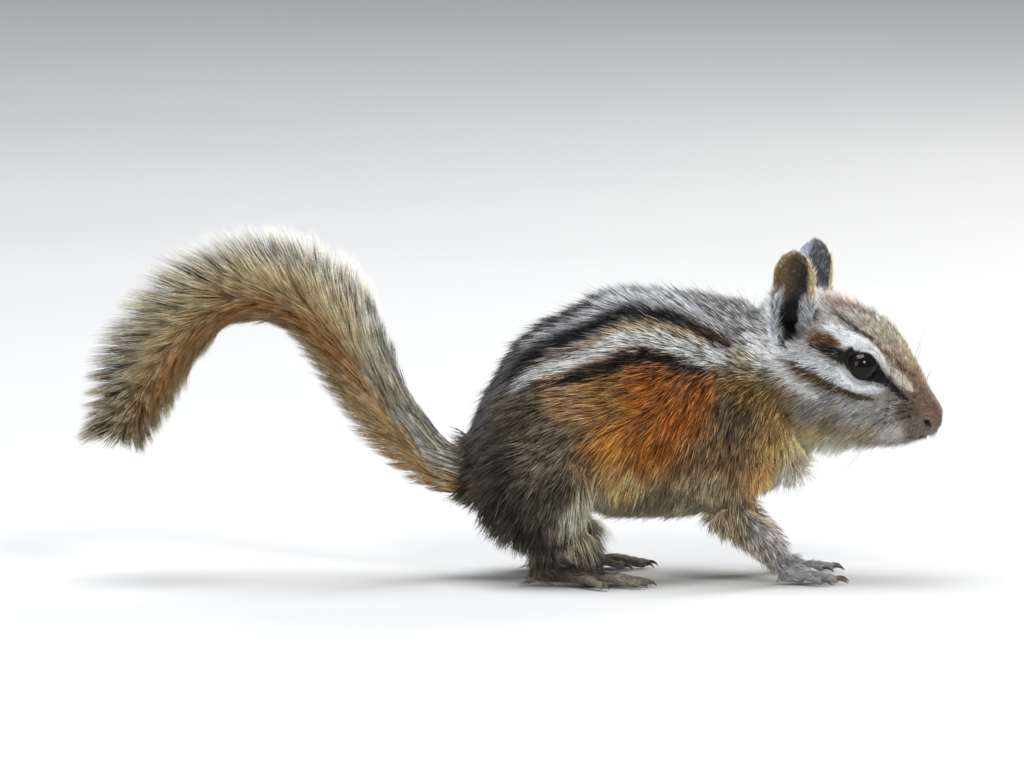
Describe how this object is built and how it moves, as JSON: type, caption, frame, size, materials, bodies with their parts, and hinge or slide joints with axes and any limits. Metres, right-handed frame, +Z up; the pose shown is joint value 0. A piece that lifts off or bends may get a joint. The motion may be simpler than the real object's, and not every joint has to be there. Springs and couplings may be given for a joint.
{
  "type": "chipmunk model",
  "caption": "Life-size model of a western striped chipmunk crouched on all four feet, nose forward, with its bushy tail arched up and back.",
  "frame": {"origin": "on the floor, under the middle of the whole animal's box", "axes": "+X the way the animal faces and the way its length runs, +Y its left, +Z up"},
  "size_m": [0.1764, 0.051, 0.0706],
  "materials": {
    "fur": "short grizzled brown fur with dark and pale stripes",
    "tail_fur": "long bushy hair, rusty with black and buff tips",
    "ear_skin": "thin ear covered with very short grey-brown hair",
    "foot_skin": "short tan hair over the paws, with bare toes and small dark claws",
    "eye": "wet, glossy, black-brown"
  },
  "bodies": {
    "root": {"belly": "fur", "chest": "fur", "ear_left": "ear_skin", "ear_right": "ear_skin", "eye_left": "eye", "eye_right": "eye", "fore_paw_left": "foot_skin", "fore_paw_right": "foot_skin", "forearm_left": "fur", "forearm_right": "fur", "head": "fur", "hind_foot_left": "foot_skin", "hind_foot_right": "foot_skin", "neck": "fur", "rump": "fur", "shank_left": "fur", "shank_right": "fur", "tail_1": "tail_fur", "tail_2": "tail_fur", "tail_3": "tail_fur", "tail_4": "tail_fur", "thigh_left": "fur", "thigh_right": "fur", "upper_arm_left": "fur", "upper_arm_right": "fur"}
  },
  "joints": []
}
